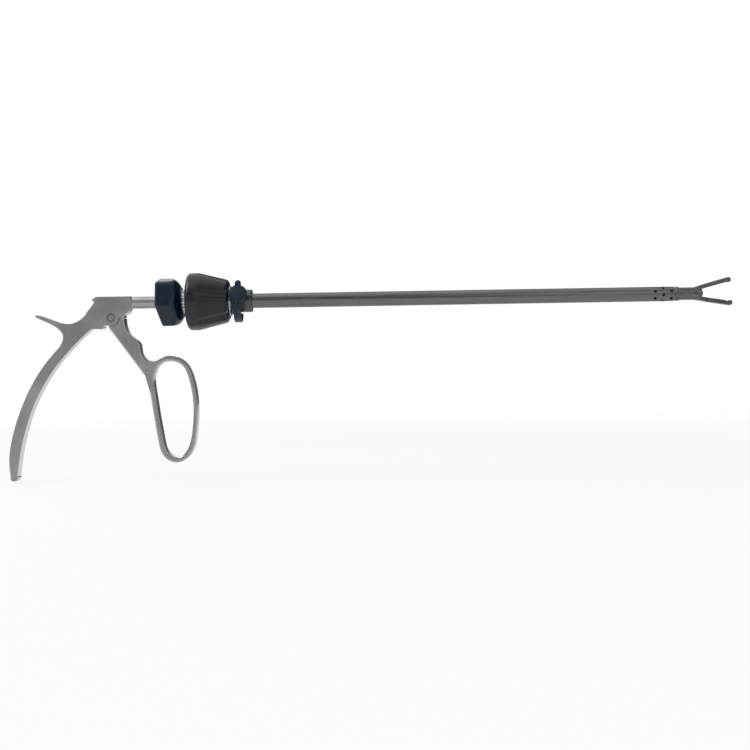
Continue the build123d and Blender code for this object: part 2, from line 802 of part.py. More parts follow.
def rod_guide():
    """Bush that joins tube and end sleeve inside and centres the rod."""
    left = sleeve_start - guide_length + guide_lap
    bush = sleeve(left, sleeve_start + guide_lap, inner_fit_radius, rod_radius + running_gap)
    for turn in around_shaft(guide_groove_count):
        groove = Pos(left + guide_length / 2, 0, inner_fit_radius)
        bush = bush - turn * groove * Box(guide_length + 1, 2 * guide_groove_radius, 2 * guide_groove_radius)
    return bush


def jaw_housing():
    """Forked head: spigot in the end sleeve, shoulder, and two cheeks with round ends."""
    left = sleeve_end - spigot_length
    body = turned(
        (left, 0), (jaw_x, 0), (jaw_x, housing_radius),
        (sleeve_end + housing_neck_length + 0.2, housing_radius),
        (sleeve_end + housing_neck_length, housing_neck_radius),
        (sleeve_end + 0.02, housing_neck_radius), (sleeve_end + 0.02, inner_fit_radius),
        (left, inner_fit_radius),
    )
    cheek = rod_along_x(jaw_x - 1, jaw_x + housing_radius, housing_radius)
    body = body + (cheek & pin_along_y(jaw_x, 0, housing_radius, -housing_radius, housing_radius))
    slot_left = jaw_x - housing_slot_depth
    half = jaw_width / 2 + side_gap
    room = Pos(slot_left + 20, 0, 0) * Box(40, 2 * half, 12)
    body = body - room - rod_along_x(left, slot_left + 1, rod_radius + running_gap)
    last_row = sleeve_hole_rows[-1]
    body = body - sleeve_holes(sleeve_start + last_row, len(sleeve_hole_rows) - 1)
    return body - pin_along_y(jaw_x, 0, jaw_pin_radius + seat_gap, -6, 6)


def jaw_pin():
    """Hinge pin of both jaws, ground flush with the cheeks."""
    reach = housing_radius - 0.15
    pin = pin_along_y(jaw_x, 0, jaw_pin_radius, -reach, reach)
    return chamfer(pin.edges().filter_by(lambda e: e.length > 6), 0.15)


def jaw_spacer():
    """Ring on the jaw pin between the roots of the two jaws."""
    half = root_inner - 0.05
    ring = pin_along_y(jaw_x, 0, 2.0, -half, half)
    return ring - pin_along_y(jaw_x, 0, jaw_pin_radius + seat_gap, -half, half)


def cam_slot_arc(opening):
    """Path of the drive pin seen from a jaw in its closed place, from its hinge."""
    points = []
    for share in (0, 0.5, 1):
        distance = open_pin_distance - share * rod_travel
        turn = radians(opening * (1 - share))
        points.append((-distance * cos(turn), distance * sin(turn)))
    return ThreePointArc(*points)


def closed_jaw(opening):
    """Upper jaw in its closed place with the hinge at the origin."""
    half = jaw_width / 2
    arc = cam_slot_arc(opening)
    slot_width = 2 * (drive_pin_radius + running_gap)
    tail = SlotArc(arc, slot_width + 2 * tail_wall)
    with BuildSketch(Plane.XY) as neck:
        with BuildLine():
            Polyline((-1.5, 3.2), (1.2, 3.9), (5.2, 3.9), (6.4, 1.9), (3.2, 0.4), close=True)
        make_face()
    root = tail + Circle(jaw_disc_radius) + neck.sketch
    root = root - SlotArc(arc, slot_width) - Circle(jaw_pin_radius + running_gap)
    with BuildSketch(Plane.XY) as arm:
        with BuildLine():
            Polyline(
                (4.0, 1.35), (7.6, 1.45), (24.2, 0.95), (24.6, 0.5), (25.6, 0.5), (26.25, 1.4),
                (26.3, 3.0), (25.3, 3.9), (9.0, 4.3), (2.5, 4.2), (1.3, 4.1), (3.0, 3.05),
                close=True,
            )
        make_face()
    jaw = plate_xz(arm.sketch, -half, half) + plate_xz(root, -half, -root_inner)
    backs = jaw.edges().filter_by(lambda e: e.center().Z > 3.9 and e.length > 10)
    jaw = fillet(backs, 0.8)
    channel = Pos(16.0, 0, 0.5) * Box(15.5, channel_width, 2 * (channel_depth + 1.1))
    boss_seat = pin_along_y(22.4, 1.0, 0.75, -half, half)
    return jaw - channel - boss_seat


def upper_jaw():
    """Upper jaw at rest, open."""
    return Pos(jaw_x, 0, 0) * Rot(0, -upper_jaw_opening, 0) * closed_jaw(upper_jaw_opening)


def lower_jaw():
    """Lower jaw at rest, open: the same form turned over."""
    return Pos(jaw_x, 0, 0) * Rot(0, lower_jaw_opening, 0) * Rot(180, 0, 0) * closed_jaw(lower_jaw_opening)


pieces = (
    rear_handle, pivot_screw, screw_seat, coupling_sleeve, nut_circlip, lock_balls, click_ring, lock_nut,
    front_handle, trigger_bush, drive_rod, rod_spool, drive_blade, drive_pin, knob_core, click_balls,
    click_spring, rod_seals, rotation_knob, knob_retainer, tube_hub, flush_port, port_cap, cap_strap,
    outer_tube, end_sleeve, rod_guide, jaw_housing, jaw_pin, jaw_spacer, upper_jaw, lower_jaw,
)

os.makedirs("parts", exist_ok=True)
for piece in pieces:
    shape = piece()
    if isinstance(shape, list):
        shape = Compound(children=shape)
    export_step(shape, os.path.join("parts", piece.__name__ + ".step"))
    print(piece.__name__, round(shape.volume, 1))
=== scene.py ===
# %% [markdown]
# # A clip applier for keyhole surgery
#
# This lesson dresses a measured model of a clip applier: a pistol grip with a finger lever, a lock
# nut, a fluted turning knob, a capped flush port and a long shaft that ends in two clip jaws.
# The measured model comes first and is never moved. Steel pieces keep their measured shape and get
# a finish. Moulded pieces, whose charm is in soft edges, are computed again as smooth surfaces.

# %% Load the measured model
import json
from math import radians, tan

import bpy
import numpy as np
from mathutils import Matrix, Vector


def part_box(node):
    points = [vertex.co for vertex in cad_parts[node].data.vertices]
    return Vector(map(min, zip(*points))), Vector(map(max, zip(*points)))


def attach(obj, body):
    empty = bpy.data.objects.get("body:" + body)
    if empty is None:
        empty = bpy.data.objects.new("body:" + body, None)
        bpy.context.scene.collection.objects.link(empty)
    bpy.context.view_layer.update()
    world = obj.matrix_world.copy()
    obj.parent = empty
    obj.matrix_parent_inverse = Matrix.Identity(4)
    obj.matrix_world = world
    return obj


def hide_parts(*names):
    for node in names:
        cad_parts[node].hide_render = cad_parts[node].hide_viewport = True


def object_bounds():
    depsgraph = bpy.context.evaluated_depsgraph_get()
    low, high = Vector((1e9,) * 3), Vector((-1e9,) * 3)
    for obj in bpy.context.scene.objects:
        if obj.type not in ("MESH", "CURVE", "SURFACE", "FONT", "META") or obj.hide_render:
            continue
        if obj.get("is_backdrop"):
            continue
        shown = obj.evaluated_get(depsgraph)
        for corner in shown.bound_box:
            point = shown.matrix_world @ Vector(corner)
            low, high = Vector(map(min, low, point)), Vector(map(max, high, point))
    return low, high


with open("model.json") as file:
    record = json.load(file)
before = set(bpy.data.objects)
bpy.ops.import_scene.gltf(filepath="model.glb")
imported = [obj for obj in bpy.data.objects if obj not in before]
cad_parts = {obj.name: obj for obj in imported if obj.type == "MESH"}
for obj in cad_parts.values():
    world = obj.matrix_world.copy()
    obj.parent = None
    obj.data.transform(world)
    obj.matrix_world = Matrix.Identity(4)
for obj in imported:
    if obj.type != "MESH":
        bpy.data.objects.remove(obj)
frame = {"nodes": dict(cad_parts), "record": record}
cad_box = [list(corner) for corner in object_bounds()]
nodes = frame["nodes"]
scene = bpy.context.scene
scene.view_settings.view_transform = "Standard"
print("measured pieces:", len(nodes))
print("box from", cad_box[0], "to", cad_box[1])

# %% [markdown]
# ## The camera
#
# The photograph looks straight at the flat side of the handles, from the side of the flush port.
# A camera could be aimed at an empty, or placed by its three axes. The axes are used here, since
# the picture is also turned by about one degree in its own plane, and that roll is then one number.

# %% Camera at the photograph's viewpoint
camera_distance = 0.8
picture_width = 0.5156
camera_roll = radians(0.945)
camera_place = Vector((0.0834, -camera_distance, -0.0524))

lens = bpy.data.cameras.new("camera")
lens.sensor_width = 36
lens.lens = lens.sensor_width * camera_distance / picture_width
camera = bpy.data.objects.new("camera", lens)
scene.collection.objects.link(camera)
picture_right = Vector((np.cos(camera_roll), 0, -np.sin(camera_roll)))
picture_up = Vector((np.sin(camera_roll), 0, np.cos(camera_roll)))
axes = Matrix((picture_right, picture_up, picture_right.cross(picture_up))).transposed()
camera.matrix_world = Matrix.Translation(camera_place) @ axes.to_4x4()
scene.camera = camera
print("lens", round(lens.lens, 1), "mm")

# %% [markdown]
# ## Small helpers for shader nodes
#
# A finish is a little graph of nodes. Its noise could be the same in every direction, but brushing,
# drawing and turning leave marks that are long one way, so the noise is drawn out along an axis.

# %% One node, and a noise
def add(tree, kind, values=None, **settings):
    """One shader node, with its settings and the values of its sockets."""
    made = tree.nodes.new(kind)
    for key, value in settings.items():
        setattr(made, key, value)
    for key, value in (values or {}).items():
        made.inputs[key].default_value = value
    return made


def grain(tree, scale, stretch=(1, 1, 1), detail=3.0):
    """Noise in the piece's own metres. The scale is in spots per metre, and a stretch below one
    lengthens the spots along that axis."""
    place = add(tree, "ShaderNodeTexCoord")
    size = add(tree, "ShaderNodeMapping", {"Scale": [scale * part for part in stretch]})
    noise = add(tree, "ShaderNodeTexNoise", {"Scale": 1.0, "Detail": detail})
    tree.links.new(place.outputs["Object"], size.inputs["Vector"])
    tree.links.new(size.outputs["Vector"], noise.inputs["Vector"])
    return noise.outputs[0]


spot = 0.001
print("a spot of", spot, "m needs a scale of", round(1 / spot))

# %% [markdown]
# A noise alone is only a number between 0 and 1. The next helpers turn numbers into what a shader
# needs: a soft step, a sum, a colour between two colours, and a bump. They could be one node group
# each, but plain functions keep the graph readable from top to bottom.

# %% Steps, sums, colours and bumps
def ramp(tree, value, start, stop, low, high):
    """Value below start gives low, above stop gives high, with a soft step between."""
    step = add(
        tree, "ShaderNodeMapRange",
        {"From Min": start, "From Max": stop, "To Min": low, "To Max": high},
        interpolation_type="SMOOTHSTEP",
    )
    tree.links.new(value, step.inputs["Value"])
    return step.outputs["Result"]


def combine(tree, operation, first, second):
    """Adds, multiplies or compares two values, of which the second may be a plain number."""
    sum_node = add(tree, "ShaderNodeMath", operation=operation)
    tree.links.new(first, sum_node.inputs[0])
    if isinstance(second, (int, float)):
        sum_node.inputs[1].default_value = second
    else:
        tree.links.new(second, sum_node.inputs[1])
    return sum_node.outputs[0]


def tint(tree, share, dark, light):
    """Colour between dark, at share 0, and light, at share 1. Either may be a socket."""
    mix = add(tree, "ShaderNodeMix", data_type="RGBA")
    tree.links.new(share, mix.inputs[0])
    for socket, colour in ((mix.inputs[6], dark), (mix.inputs[7], light)):
        if isinstance(colour, tuple):
            socket.default_value = (*colour, 1)
        else:
            tree.links.new(colour, socket)
    return mix.outputs[2]


def relief(tree, height, depth):
    """Bump from a height between 0 and 1, where 1 stands depth metres proud."""
    bump = add(tree, "ShaderNodeBump", {"Strength": 1.0, "Distance": depth})
    tree.links.new(height, bump.inputs["Height"])
    return bump.outputs["Normal"]


print("helpers:", [helper.__name__ for helper in (add, grain, ramp, combine, tint, relief)])

# %% [markdown]
# ## The room
#
# Polished steel shows mostly its surroundings, so the room is part of the finish. A photographed
# room image would do, but a formula needs no file: each soft lobe adds or takes brightness round
# one direction. Top, left and left behind are bright, and the right behind is dark. That dark side
# draws the narrow dark line along the right-hand rims of the handles, and the darkest directions
# are tinted blue, as they are on the real steel. The camera itself sees plain white.

# %% Brightness of the room
def lobe(tree, direction, inner, outer, amount):
    """Brightness added round a direction: the full amount inside the inner angle in degrees,
    none outside the outer angle, and a smooth fall between."""
    place = add(tree, "ShaderNodeTexCoord")
    aim = add(tree, "ShaderNodeVectorMath", operation="DOT_PRODUCT")
    tree.links.new(place.outputs["Generated"], aim.inputs[0])
    aim.inputs[1].default_value = Vector(direction).normalized()
    edge = float(np.cos(radians(outer)))
    core = float(np.cos(radians(inner)))
    return ramp(tree, aim.outputs["Value"], edge, core, 0.0, amount)


world = bpy.data.worlds.new("studio room")
scene.world = world
world.use_nodes = True
room = world.node_tree
room.nodes.clear()

room_lobes = (
    ((-0.35, 0.15, 1.0), 15, 60, 0.70),
    ((-1.0, -0.2, 0.1), 15, 60, 0.14),
    ((1.0, -0.35, 0.1), 8, 32, 0.30),
    ((0.72, 0.68, -0.05), 36, 62, -0.26),
    ((-0.45, 0.9, 0.1), 10, 42, 0.70),
)
room_base = 0.27
room_darkest = 0.03
brightness = None
for direction, inner, outer, amount in room_lobes:
    part = lobe(room, direction, inner, outer, amount)
    brightness = combine(room, "ADD", part, room_base if brightness is None else brightness)
brightness = combine(room, "MAXIMUM", brightness, room_darkest)
brightness = combine(room, "MINIMUM", brightness, 1.0)
print("room lobes:", len(room_lobes))

# %% [markdown]
# The camera's own rays have to see a white background, or the picture would show the lobes. A white
# card behind the object would also shade it, so the Light Path node picks the background by ray.

# %% World with a white background
cool_until = 0.25
cool_blue = (0.45, 0.68, 1.0)
soft_room = add(room, "ShaderNodeBackground")
cool_share = ramp(room, brightness, room_darkest, cool_until, 0.0, 1.0)
cool_shadow = tint(room, cool_share, cool_blue, (1.0, 1.0, 1.0))
room.links.new(cool_shadow, soft_room.inputs["Color"])
room.links.new(brightness, soft_room.inputs["Strength"])
white_back = add(room, "ShaderNodeBackground", {"Color": (1, 1, 1, 1), "Strength": 1.0})
rays = add(room, "ShaderNodeLightPath")
choose = add(room, "ShaderNodeMixShader")
room.links.new(rays.outputs["Is Camera Ray"], choose.inputs[0])
room.links.new(soft_room.outputs[0], choose.inputs[1])
room.links.new(white_back.outputs[0], choose.inputs[2])
room.links.new(choose.outputs[0], add(room, "ShaderNodeOutputWorld").inputs[0])
print("world nodes:", len(room.nodes))

# %% [markdown]
# ## Lamps
#
# The room alone gives no direction of light. A sun lamp would, but with hard shadows. Two large
# square lamps about a metre away give soft highlights and soft shadows.

# %% Two soft lamps
def soft_lamp(title, place, aim, size, power):
    """Square lamp that looks from its place towards a point."""
    light = bpy.data.lights.new(title, "AREA")
    light.size = size
    light.energy = power
    holder = bpy.data.objects.new(title, light)
    scene.collection.objects.link(holder)
    holder.location = place
    holder.rotation_euler = (Vector(aim) - Vector(place)).to_track_quat("-Z", "Y").to_euler()


middle = (0.05, 0, -0.03)
soft_lamp("window light", (-0.7, -0.25, 0.8), middle, 0.6, 4)
soft_lamp("fill light", (0.6, -0.9, 0.5), middle, 0.8, 1)
print("lamps:", [light.name for light in bpy.data.lights])

# %% [markdown]
# ## The floor
#
# The floor is a real surface that takes the object's shadow. Left alone it would meet the white
# background in a grey line. For the camera it is mixed with plain white, more so with distance, and
# a little of that white also shows in reflections on the metal.

# %% Floor under the lowest point
floor_gap = 0.001
floor_height = cad_box[0][2] - floor_gap
floor_reach = 4.0
corners = [(x, y, floor_height) for x, y in ((-1, -1), (1, -1), (1, 1), (-1, 1))]
corners = [(x * floor_reach, y * floor_reach, z) for x, y, z in corners]
floor_mesh = bpy.data.meshes.new("floor")
floor_mesh.from_pydata(corners, [], [(0, 1, 2, 3)])
floor = bpy.data.objects.new("floor", floor_mesh)
scene.collection.objects.link(floor)
floor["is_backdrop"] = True
print("floor at", round(floor_height, 4))

# %% [markdown]
# Paper is matt and nearly white. The share of plain white is a soft step of the distance from the
# object, so no edge of the mixture shows.

# %% White paper
paper_white = (0.88, 0.88, 0.88, 1)
white_near, white_far = 0.86, 1.0
fade_from, fade_to = 0.3, 1.6
mirrored_white = 0.18
paper = bpy.data.materials.new("white paper")
paper.use_nodes = True
sheet = paper.node_tree
sheet.nodes.clear()
matt = add(sheet, "ShaderNodeBsdfDiffuse", {"Color": paper_white})
plain_white = add(sheet, "ShaderNodeEmission", {"Color": (1, 1, 1, 1), "Strength": 1.0})
sight = add(sheet, "ShaderNodeLightPath")
far_off = add(sheet, "ShaderNodeVectorMath", operation="LENGTH")
sheet.links.new(add(sheet, "ShaderNodeTexCoord").outputs["Object"], far_off.inputs[0])
fade = ramp(sheet, far_off.outputs["Value"], fade_from, fade_to, white_near, white_far)
seen = combine(sheet, "MULTIPLY", sight.outputs["Is Camera Ray"], fade)
mirrored = combine(sheet, "MULTIPLY", sight.outputs["Is Glossy Ray"], mirrored_white)
blend_paper = add(sheet, "ShaderNodeMixShader")
sheet.links.new(combine(sheet, "MAXIMUM", seen, mirrored), blend_paper.inputs[0])
sheet.links.new(matt.outputs[0], blend_paper.inputs[1])
sheet.links.new(plain_white.outputs[0], blend_paper.inputs[2])
sheet.links.new(blend_paper.outputs[0], add(sheet, "ShaderNodeOutputMaterial").inputs[0])
floor_mesh.materials.append(paper)
print("paper nodes:", len(sheet.nodes))

# %% [markdown]
# ## How a piece becomes a mesh
#
# Each moulded piece here is a grid of points: one direction runs along its section and the other
# runs round it. Modelling by hand would move vertices one by one. A formula places the whole grid
# at once, and the same few lines turn any grid into a closed skin.

# %% Faces of a grid, and its outside
mm = 0.001


def grid_faces(rows, columns, wrap_rows):
    """Four-sided faces of a grid whose columns run round and whose rows may close too."""
    last = rows if wrap_rows else rows - 1
    row = np.arange(last)[:, None]
    column = np.arange(columns)[None, :]
    next_row = (row + 1) % rows
    next_column = (column + 1) % columns
    corner = [row * columns + column, row * columns + next_column]
    corner += [next_row * columns + next_column, next_row * columns + column]
    return np.stack(corner, axis=-1).reshape(-1, 4)


def signed_volume(points, faces):
    """Sum of the small pyramids from the origin to each face: positive when faces look outwards."""
    a, b, c, d = (points[faces[:, i]] for i in range(4))
    return float((np.cross(a, b) * c).sum() + (np.cross(a, c) * d).sum())


print("faces of a grid of 3 by 4 points:", len(grid_faces(3, 4, False)))

# %% [markdown]
# A skin must be closed and look outwards, or the printed and exported piece is inside out. Normals
# could be recalculated afterwards. The signed volume settles it before the mesh exists.

# %% Closed skin
def skin(rows, wrap_rows=True):
    """Points and faces of a closed skin over rows of points, shape (rows, columns, 3). Rows that
    don't close are capped at both ends by a ring that shrinks to its own middle."""
    if not wrap_rows:
        first = np.broadcast_to(rows[0].mean(axis=0), rows[0].shape)
        last = np.broadcast_to(rows[-1].mean(axis=0), rows[-1].shape)
        rows = np.concatenate([first[None], rows, last[None]])
    points = rows.reshape(-1, 3)
    faces = grid_faces(rows.shape[0], rows.shape[1], wrap_rows)
    if signed_volume(points, faces) < 0:
        faces = faces[:, ::-1]
    return points, faces


cube_rows = np.array([[[x, y, z] for x, y in ((0, 0), (1, 0), (1, 1), (0, 1))] for z in (0, 1)])
print("test cube, faces of its skin:", len(skin(cube_rows.astype(float), wrap_rows=False)[1]))

# %% [markdown]
# The last step makes the object. Points that coincide, as at a pole, are merged with numpy before
# the mesh is made, and only true edges are marked sharp.

# %% Object from skins
merge_grid = 0.002
sharp_angle = 38


def make_piece(title, skins, stands_for, body):
    """One object from several closed skins given in millimetres. Points that coincide are merged,
    and edges sharper than the sharp angle stay crisp."""
    points = np.concatenate([part[0] for part in skins]) * mm
    starts = np.cumsum([0] + [len(part[0]) for part in skins[:-1]])
    faces = np.concatenate([part[1] + start for part, start in zip(skins, starts)])
    keys = np.round(points / (merge_grid * mm)).astype(np.int64)
    _, kept, renamed = np.unique(keys, axis=0, return_index=True, return_inverse=True)
    faces = renamed.reshape(-1)[faces]
    whole = [list(dict.fromkeys(face)) for face in faces.tolist()]
    whole = [face for face in whole if len(face) > 2]
    mesh = bpy.data.meshes.new(title)
    mesh.from_pydata(points[kept].tolist(), [], whole)
    mesh.polygons.foreach_set("use_smooth", [True] * len(mesh.polygons))
    mesh.set_sharp_from_angle(angle=radians(sharp_angle))
    mesh.update()
    piece = bpy.data.objects.new(title, mesh)
    scene.collection.objects.link(piece)
    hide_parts(stands_for)
    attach(piece, body)
    print(title, "faces", len(mesh.polygons))
    return piece


print("points closer than", merge_grid, "mm become one")

# %% [markdown]
# Where two surfaces cross, a plain minimum leaves a knife edge, and a bevel there would need a
# clean edge loop. A soft minimum rounds the crossing inside the formula itself.

# %% Soft smaller and larger
def soft_min(a, b, blend):
    """The smaller of two values, with a rounding of about the blend length where they cross."""
    low = np.minimum(a, b)
    return low - blend * np.log(np.exp((low - a) / blend) + np.exp((low - b) / blend))


def soft_max(a, b, blend):
    """The larger of two values, rounded where they cross."""
    return -soft_min(-a, -b, blend)


print("soft smaller of 1 and 1.1:", round(float(soft_min(1.0, 1.1, 0.1)), 3))

# %% [markdown]
# ## The lock nut
#
# The navy nut has six sides with rounded corners, a long shoulder that falls towards the knob, and
# a rear face that bends just below its middle. Cutting a cylinder with planes would give hard
# edges. Here the radius is worked out for every angle and place: a six-sided outline, limited
# softly by the turned shoulder, so the flats run out in the curved edges that a moulded nut has.

# %% Six-sided outline with round corners
nut_flat = 15.41
nut_first_flat = radians(42.2)
nut_corner_power = 32


def nut_outline(angle):
    """Radius of the outline: the flat distance divided by a high-power mean of the cosines to the
    six flats, which rounds the corners."""
    flats = nut_first_flat + np.arange(6) * np.pi / 3
    cosines = np.clip(np.cos(angle[..., None] - flats), 0, None)
    return nut_flat / (cosines ** nut_corner_power).sum(axis=-1) ** (1 / nut_corner_power)


print("nut across flats", 2 * nut_flat, "mm")

# %% [markdown]
# The shoulder is the arc of a circle. Its centre could be tried by eye. Three points read from the
# outline fix it exactly.

# %% Shoulder of the nut
def circle_through(a, b, c):
    """Centre and radius of the circle through three points, from the two chords' midlines."""
    left = 2 * np.array([np.subtract(b, a), np.subtract(c, a)])
    right_side = np.array([np.dot(b, b) - np.dot(a, a), np.dot(c, c) - np.dot(a, a)])
    centre = np.linalg.solve(left, right_side)
    return centre, float(np.hypot(*(centre - np.array(a))))


nut_front = -47.5
nut_lean = tan(radians(4.2))
shoulder_start = (-56.4, 17.8)
shoulder_centre, shoulder_bend = circle_through(shoulder_start, (-50.8, 14.6), (nut_front, 9.4))


def nut_shoulder(x):
    """Radius of the shoulder: level, then the arc of a circle down to the front."""
    offset = np.clip(x, shoulder_start[0], nut_front) - shoulder_centre[0]
    drop = np.sqrt(np.clip(shoulder_bend**2 - offset**2, 0, None))
    return shoulder_centre[1] + drop


print("shoulder bends at", round(shoulder_bend, 2), "mm")

# %% [markdown]
# The whole form leans a little on its bore, and its rear face is two slanted planes. Both are
# formulas of the point's height, so no part of the nut has to be turned or cut afterwards.

# %% Lean and rear face
nut_soft_edge = 0.25
nut_face_place = -64.5
nut_face_bend = -2.5
nut_face_leans = (1.7, 13.2)
nut_face_soft = 0.12


def nut_radius(x, angle):
    """Outline and shoulder, the smaller of both. The whole form leans a little on its bore, so the
    shoulder is read at a place that moves with the height of the point."""
    outline = nut_outline(angle)
    radius = outline
    for _ in range(3):
        place = x + nut_lean * radius * np.sin(angle)
        radius = soft_min(outline, nut_shoulder(place), nut_soft_edge)
    return radius


def nut_rear(radius, angle):
    """Place of the rear face: the further forward of two slanted planes that meet below the
    middle."""
    height = radius * np.sin(angle) - nut_face_bend
    upper, lower = (nut_face_place - height * tan(radians(lean)) for lean in nut_face_leans)
    return soft_max(upper, lower, nut_face_soft)


print("rear face bends by", nut_face_leans[1] - nut_face_leans[0], "degrees")

# %% [markdown]
# The skin runs from the front of the bore back through it, up the rear face, round the rim, along
# the sides and over the front edge into the wider front of the bore again.

# %% Skin of the nut
around = np.linspace(0, 2 * np.pi, 240, endpoint=False)
nut_edge = 1.5
nut_front_edge = 0.35
nut_front_room = 8.5
nut_rear_room = 8.2
nut_bore = 7.0
nut_bore_front = -49.45
nut_bore_rear = -63.03
nut_front_middle = 9.2
rim_place = nut_rear(nut_outline(around), around)
rim_radius = nut_radius(rim_place + nut_edge, around)
nut_rows = []


def nut_row(x, radius):
    """One ring of points at place x and the given radius, for every angle."""
    x = np.broadcast_to(x, around.shape)
    nut_rows.append(np.stack([x, radius * np.cos(around), radius * np.sin(around)], axis=-1))


bore_path = ((nut_bore_front, nut_bore), (nut_bore_rear, nut_bore), (nut_bore_rear, nut_rear_room))
for place, radius in bore_path:
    nut_row(place, np.full_like(around, radius))
for share in np.linspace(0, 1, 8):
    radius = nut_rear_room + share * (rim_radius - nut_edge - nut_rear_room)
    nut_row(nut_rear(radius, around), radius)
rim_base = nut_rear(rim_radius - nut_edge, around)
for turn in np.linspace(0, np.pi / 2, 9)[1:]:
    ring = rim_radius - nut_edge * (1 - np.sin(turn))
    nut_row(rim_base + nut_edge * (1 - np.cos(turn)), ring)
side_start = rim_base + nut_edge
front_place = nut_front - nut_lean * nut_front_middle * np.sin(around)
side_end = front_place - nut_front_edge
for share in np.linspace(0, 1, 56)[1:-1]:
    place = side_start + share * (side_end - side_start)
    nut_row(place, nut_radius(place, around))
end_radius = nut_radius(side_end, around)
for turn in np.linspace(0, np.pi / 2, 5):
    ring = end_radius - nut_front_edge * (1 - np.cos(turn))
    nut_row(side_end + nut_front_edge * np.sin(turn), ring)
nut_row(front_place, np.full_like(around, nut_front_room))
nut_row(nut_bore_front, np.full_like(around, nut_front_room))
nut_skin = skin(np.array(nut_rows))
lock_nut = make_piece("lock_nut_skin", [nut_skin], "lock_nut", "lock")

# %% [markdown]
# ## The turning knob
#
# The knob is a cone with a short level land at its wide end and six wide, shallow flutes that
# deepen towards the jaws. A boolean cut would leave a sharp line along each flute. The radius
# formula takes the smaller of cone and flute, and a moulded knob's slightly soft line comes from
# the blend length.

# %% Cone of the knob
knob_rear = -44.2
knob_front = -15.5
knob_land_end = -36.2
knob_wide = 19.6
knob_slim = 14.4
knob_fall = (knob_wide - knob_slim) / (knob_front - knob_land_end)


def knob_cone(x):
    """Level radius of the land, softly limited by the straight fall of the cone."""
    cone = knob_wide - knob_fall * (x - knob_land_end)
    return soft_min(np.full_like(x, knob_wide), cone, 0.15)


print("knob falls", round(knob_fall, 3), "mm per mm")

# %% [markdown]
# Each flute is the trace of a round cutter whose axis slopes towards the shaft. The cutter could be
# a cylinder in a boolean. Its trace is also a quadratic equation for each ray from the axis, and
# numpy solves that for all rays at once.

# %% Flutes of the knob
flute_count = 6
flute_first = radians(78)
flute_round = 7.0
flute_round_radial = 7.32
flute_axis_rear = 26.25
flute_axis_front = 19.9
no_flute = 40.0


def flute_floor(x, angle):
    """Radius where a ray from the axis first meets the slanted round cutter of the nearest flute:
    the smaller root of the ellipse that the cutter makes across the axis."""
    step = 2 * np.pi / flute_count
    off = (angle - flute_first + step / 2) % step - step / 2
    fall = (flute_axis_rear - flute_axis_front) / (knob_front - knob_land_end)
    axis = flute_axis_rear - fall * (x - knob_land_end)
    a = np.sin(off) ** 2 / flute_round**2 + np.cos(off) ** 2 / flute_round_radial**2
    b = -2 * axis * np.cos(off) / flute_round_radial**2
    c = axis**2 / flute_round_radial**2 - 1
    root = b * b - 4 * a * c
    meets = root > 0
    return np.where(meets, (-b - np.sqrt(np.where(meets, root, 0))) / (2 * a), no_flute)


def knob_radius(x, angle):
    """The smaller of cone and flute, with a soft line where they meet."""
    return soft_min(knob_cone(x), flute_floor(x, angle), 0.14)


front_depth = knob_slim - flute_floor(np.array([knob_front]), np.array([flute_first]))[0]
print("flutes are", round(float(front_depth), 2), "mm deep at the front")

# %% [markdown]
# The skin runs back through the bore, widens to the room for the click ring, and comes forward
# over the outside with a large rounding at each end, as a moulded grip has.

# %% Skin of the knob
turning = np.linspace(0, 2 * np.pi, 360, endpoint=False)
knob_rows = []


def knob_row(x, radius):
    """One ring of points. The angle is counted from the top towards the camera's side."""
    x = np.broadcast_to(x, turning.shape)
    radius = np.broadcast_to(radius, turning.shape)
    knob_rows.append(np.stack([x, -radius * np.sin(turning), radius * np.cos(turning)], axis=-1))


knob_bore = 8.03
knob_room = 11.0
knob_step = -38.8
rear_edge = 3.0
front_edge = 2.4
wide_radius = knob_radius(np.full_like(turning, knob_rear + rear_edge), turning)
slim_radius = knob_radius(np.full_like(turning, knob_front - front_edge), turning)
inside = ((knob_front, knob_bore), (knob_step, knob_bore), (knob_step, knob_room))
for place, radius in (*inside, (knob_rear, knob_room)):
    knob_row(place, radius)
for share in (0.25, 0.5, 0.75):
    knob_row(knob_rear, knob_room + share * (wide_radius - rear_edge - knob_room))
for turn in np.linspace(0, np.pi / 2, 12):
    ring = wide_radius - rear_edge * (1 - np.sin(turn))
    knob_row(knob_rear + rear_edge * (1 - np.cos(turn)), ring)
for place in np.linspace(knob_rear + rear_edge, knob_front - front_edge, 52)[1:-1]:
    knob_row(place, knob_radius(np.full_like(turning, place), turning))
tuck = knob_fall * front_edge
for turn in np.linspace(0, np.pi / 2, 12):
    inward = front_edge * (1 - np.cos(turn)) + tuck * np.sin(turn)
    knob_row(knob_front - front_edge * (1 - np.sin(turn)), slim_radius - inward)
for share in (0.3, 0.6):
    inner_front = slim_radius - front_edge - tuck
    knob_row(knob_front, inner_front + share * (knob_bore - inner_front))
knob = make_piece(
    "rotation_knob_skin", [skin(np.array(knob_rows))], "rotation_knob", "shaft_unit"
)

# %% [markdown]
# ## The port cap
#
# The silicone cap is a disc with a rounded pull tab, a skirt that grips the nozzle outside and a
# plug that closes it inside. Its outline is a circle and a tongue, which two meshes could be joined
# for. In polar form both are a radius for each angle, so their union is one soft maximum.

# %% Outline of disc and tab
port_lean = radians(20)
port_place = np.array([-8.8, 0.0, 0.0])
port_aim = np.array([0.0, -np.cos(port_lean), np.sin(port_lean)])
port_side = np.array([1.0, 0.0, 0.0])
port_up = np.cross(port_aim, port_side)
cap_round = 6.4
tab_half = 2.1
tab_centre = 7.9


